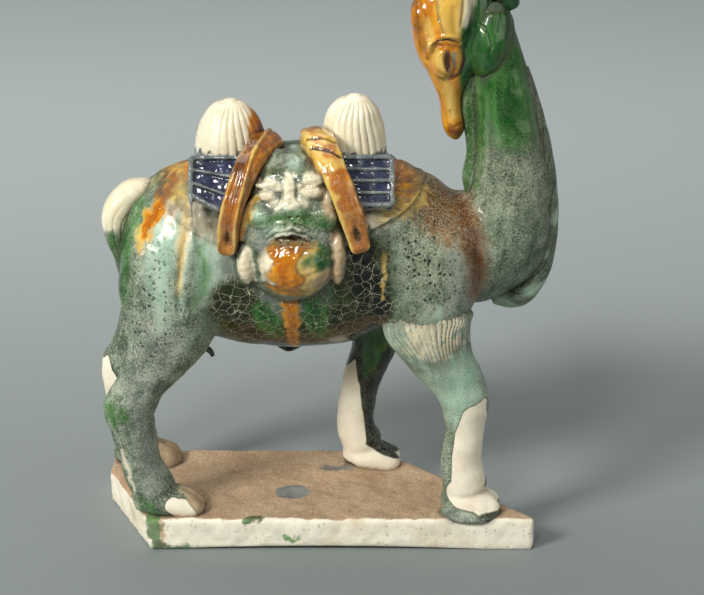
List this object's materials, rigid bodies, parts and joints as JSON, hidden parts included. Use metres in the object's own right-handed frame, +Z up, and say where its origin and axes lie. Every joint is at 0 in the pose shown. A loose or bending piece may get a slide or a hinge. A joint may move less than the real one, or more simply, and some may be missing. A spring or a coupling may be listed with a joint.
{
  "type": "sancai camel figure",
  "caption": "Standing two-humped camel with a beast-mask pack, head turned back, on a flat slab, in three-colour glazed earthenware.",
  "frame": {"origin": "on the slab's flat underside, below the middle of the camel's trunk and midway between its flanks", "axes": "+Z up, +X along the camel towards its chest, +Y towards its far flank"},
  "size_m": [0.1522, 0.072, 0.19],
  "materials": {
    "sancai_glaze": "gloss lead glaze, green, amber and cream, crackled",
    "white_slip": "matt slipped earthenware, dusty"
  },
  "bodies": {
    "root": {"camel": "sancai_glaze", "plinth": "white_slip"}
  },
  "joints": []
}
